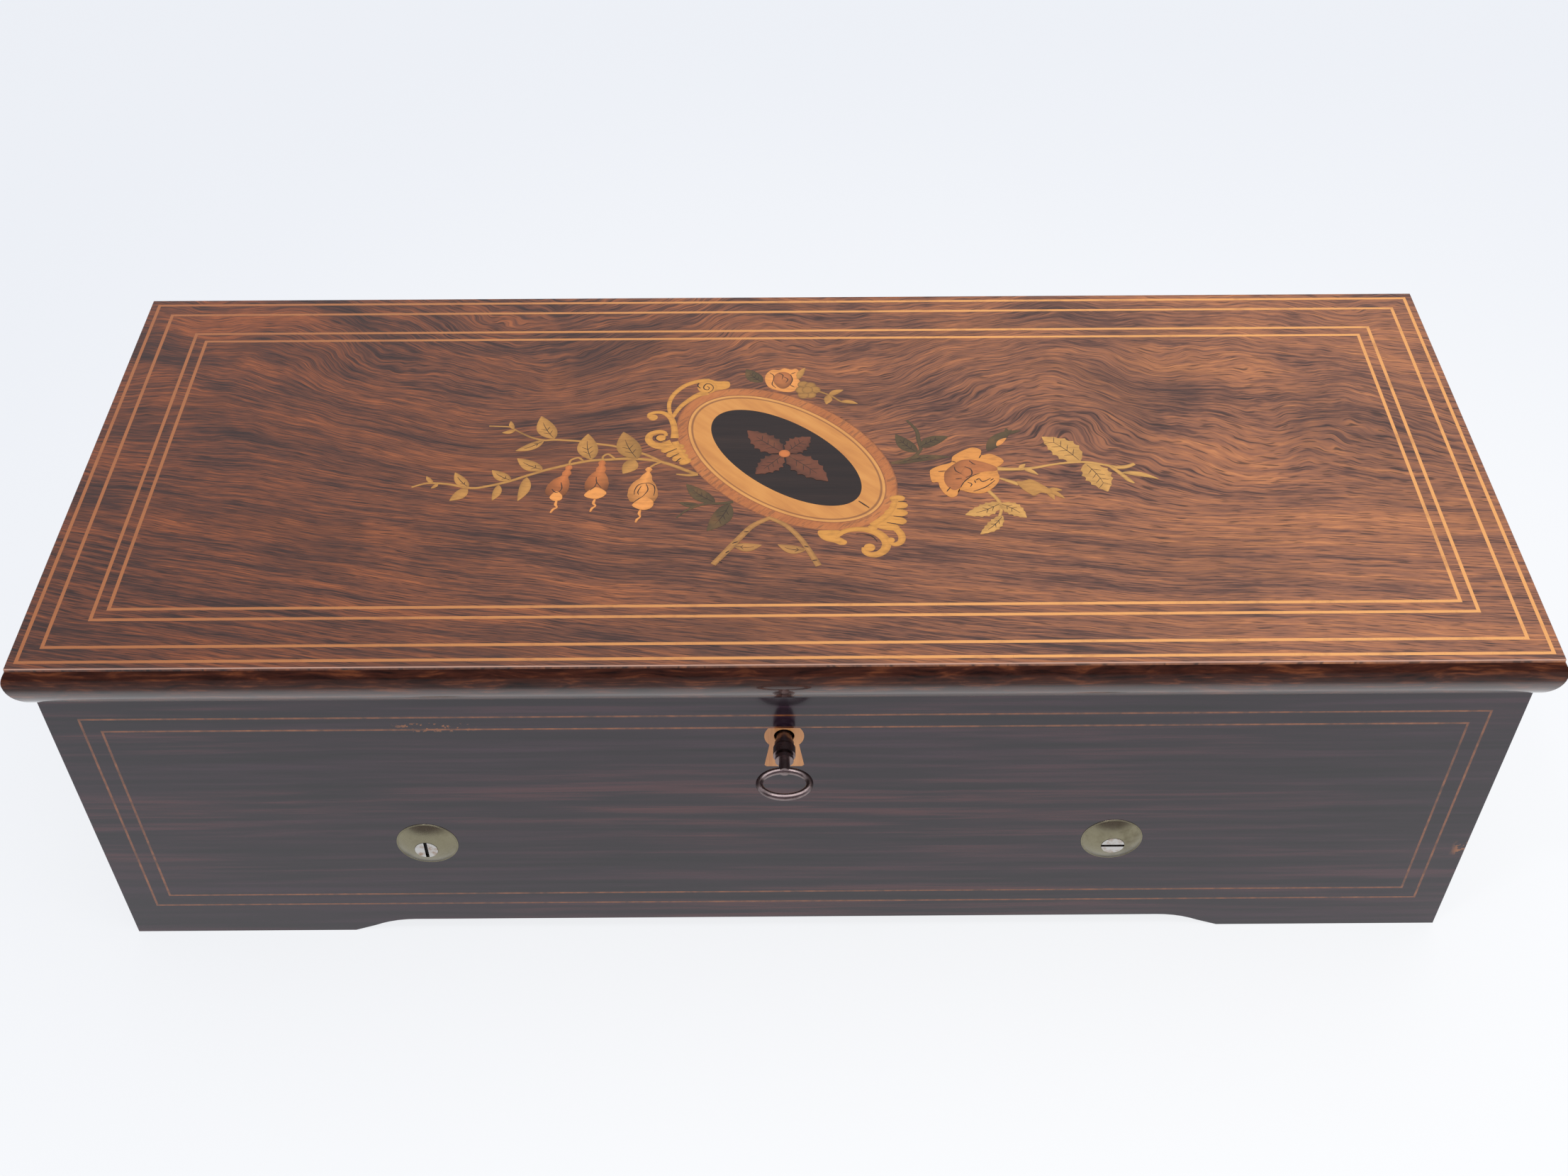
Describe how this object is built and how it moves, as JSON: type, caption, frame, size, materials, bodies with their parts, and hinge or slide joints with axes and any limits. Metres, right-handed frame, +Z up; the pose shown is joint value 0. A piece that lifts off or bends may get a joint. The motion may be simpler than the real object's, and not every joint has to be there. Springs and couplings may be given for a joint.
{
  "type": "cylinder music box",
  "caption": "Antique cylinder music box with an inlaid rosewood lid, keyed lock, glazed inner lid, winding lever and pinned cylinder movement.",
  "frame": {"origin": "on the table, under the middle of the whole outline with the key and the lid hinges", "axes": "+X along the case to the right seen from the front, +Y to the back, +Z up"},
  "size_m": [0.4912, 0.2216, 0.1475],
  "materials": {
    "ebonised_front": "ebonised and polished, with worn streaks",
    "ebonised_case": "ebonised and polished",
    "case_lining": "stained fruitwood",
    "base_deal": "planed deal",
    "lid_core": "stained inside face",
    "rosewood": "french polished rosewood veneer",
    "rosewood_moulding": "french polished rosewood",
    "lid_line": "boxwood stringing, aged",
    "front_line": "boxwood stringing, worn",
    "medallion_crossband": "crossbanded tulipwood",
    "medallion_satinwood": "satinwood",
    "medallion_ebony": "ebony with an inlaid flower",
    "escutcheon_wood": "light fruitwood",
    "key_steel": "dark polished steel",
    "screw_steel": "bright steel",
    "washer_bronze": "tarnished brass",
    "hinge_brass": "lacquered brass",
    "lock_brass": "brass plate",
    "pin_steel": "steel",
    "frame_wood": "ebonised frame",
    "glass": "clear sheet glass",
    "card": "aged printed card without lettering",
    "bed_brass": "brushed brass",
    "cast_brass": "cast and filed brass",
    "comb_steel": "tempered steel",
    "cylinder_brass": "turned brass",
    "wheel_brass": "cut brass",
    "arbor_steel": "turned steel",
    "spring_steel": "blued spring steel",
    "lever_steel": "polished steel",
    "handle_wood": "turned rosewood"
  },
  "bodies": {
    "case": {"front_board": "ebonised_front", "back_board": "ebonised_case", "left_end": "ebonised_case", "right_end": "ebonised_case", "left_partition": "case_lining", "right_partition": "case_lining", "glass_ledge": "case_lining", "base_board": "base_deal", "front_stringing": "front_line", "escutcheon": "escutcheon_wood", "bedplate_screws": "screw_steel", "comb_screws": "screw_steel", "bedplate_washers": "washer_bronze", "case_hinge_leaves": "hinge_brass", "lock_case": "lock_brass", "hinge_pins": "pin_steel", "bedplate": "bed_brass", "comb_base": "cast_brass", "left_cock": "cast_brass", "right_cock": "cast_brass", "barrel_cock": "cast_brass", "governor_frame": "cast_brass", "comb": "comb_steel"},
    "lid": {"lid_board": "lid_core", "lid_veneer": "rosewood", "lid_moulding_front": "rosewood_moulding", "lid_side_mouldings": "rosewood_moulding", "lid_stringing": "lid_line", "medallion_outer_ring": "medallion_crossband", "medallion_inner_ring": "medallion_satinwood", "medallion_field": "medallion_ebony", "link_plate": "hinge_brass", "lid_hinge_leaves": "hinge_brass", "tune_card": "card"},
    "glass_lid": {"glass_frame": "frame_wood", "glass_pane": "glass", "glass_pivots": "hinge_brass"},
    "key": {"key": "key_steel"},
    "lock_bolt": {"lock_bolt": "pin_steel"},
    "winder": {"winding_lever": "lever_steel", "lever_handle": "handle_wood", "ratchet_wheel": "arbor_steel", "barrel_arbor": "arbor_steel", "drive_pawl": "arbor_steel"},
    "barrel": {"spring_barrel": "wheel_brass", "barrel_cover": "wheel_brass", "mainspring": "spring_steel"},
    "drive": {"cylinder_arbor": "arbor_steel", "great_wheel": "wheel_brass"},
    "snail": {"tune_snail": "wheel_brass"},
    "cylinder": {"cylinder_shell": "cylinder_brass", "cylinder_caps": "cylinder_brass"},
    "first_wheel": {"first_governor_wheel": "wheel_brass"},
    "second_wheel": {"second_governor_wheel": "wheel_brass"},
    "fly": {"endless_screw": "arbor_steel", "fly": "wheel_brass"},
    "start": {"start_lever": "lever_steel"},
    "change": {"change_lever": "lever_steel"},
    "click": {"click": "arbor_steel"}
  },
  "joints": [
    {"name": "lid_hinge", "type": "hinge", "parent": "case", "child": "lid", "pos_m": [0, 0.10845, 0.1298], "axis": [-1, 0, 0], "range_deg": [0, 98]},
    {"name": "glass_lid_pivot", "type": "hinge", "parent": "case", "child": "glass_lid", "pos_m": [0, 0.08765, 0.1216], "axis": [-1, 0, 0], "range_deg": [0, 73.5]},
    {"name": "key_turn", "type": "hinge", "parent": "case", "child": "key", "pos_m": [-0.0005, -0.08435, 0.1089], "axis": [0, 1, 0], "range_deg": [-90, 90]},
    {"name": "bolt_slide", "type": "slide", "parent": "case", "child": "lock_bolt", "axis": [1, 0, 0], "range_m": [-0.0026, 0.0026]},
    {"name": "winding_lever_stroke", "type": "hinge", "parent": "case", "child": "winder", "pos_m": [0, 0.05034, 0.08555], "axis": [-1, 0, 0], "range_deg": [0, 60]},
    {"name": "cylinder_turn", "type": "hinge", "parent": "case", "child": "drive", "pos_m": [0, 0.01865, 0.09], "axis": [1, 0, 0], "continuous": true},
    {"name": "barrel_turn", "type": "hinge", "parent": "case", "child": "barrel", "pos_m": [0, 0.05034, 0.08555], "axis": [1, 0, 0], "continuous": true},
    {"name": "first_wheel_turn", "type": "hinge", "parent": "case", "child": "first_wheel", "pos_m": [0, 0.04571, 0.08015], "axis": [1, 0, 0], "continuous": true},
    {"name": "second_wheel_turn", "type": "hinge", "parent": "case", "child": "second_wheel", "pos_m": [0, 0.05751, 0.08841], "axis": [1, 0, 0], "continuous": true},
    {"name": "fly_turn", "type": "hinge", "parent": "case", "child": "fly", "pos_m": [0.141, 0.06691, 0.08841], "axis": [0, 0, 1], "continuous": true},
    {"name": "snail_index", "type": "hinge", "parent": "drive", "child": "snail", "pos_m": [0, 0.01865, 0.104], "axis": [1, 0, 0], "range_deg": [0, 315]},
    {"name": "cylinder_shift", "type": "slide", "parent": "drive", "child": "cylinder", "axis": [1, 0, 0], "range_m": [0, 0.0028]},
    {"name": "start_lever_swing", "type": "hinge", "parent": "case", "child": "start", "pos_m": [0, -0.01335, 0.065], "axis": [-1, 0, 0], "range_deg": [0, 16]},
    {"name": "change_lever_swing", "type": "hinge", "parent": "case", "child": "change", "pos_m": [0, -0.02935, 0.065], "axis": [-1, 0, 0], "range_deg": [0, 16]},
    {"name": "click_lift", "type": "hinge", "parent": "case", "child": "click", "pos_m": [0, 0.05834, 0.10955], "axis": [-1, 0, 0], "range_deg": [0, 12]}
  ],
  "couplings": [
    {"joint": "glass_lid_pivot", "follows": "lid_hinge", "ratio": 0.75},
    {"joint": "bolt_slide", "follows": "key_turn", "m_per_rad": 0.001655},
    {"joint": "barrel_turn", "follows": "cylinder_turn", "ratio": -0.33333},
    {"joint": "first_wheel_turn", "follows": "cylinder_turn", "ratio": -5},
    {"joint": "second_wheel_turn", "follows": "cylinder_turn", "ratio": 15},
    {"joint": "fly_turn", "follows": "cylinder_turn", "ratio": -360},
    {"joint": "snail_index", "follows": "cylinder_shift", "rad_per_m": 1963.3}
  ]
}
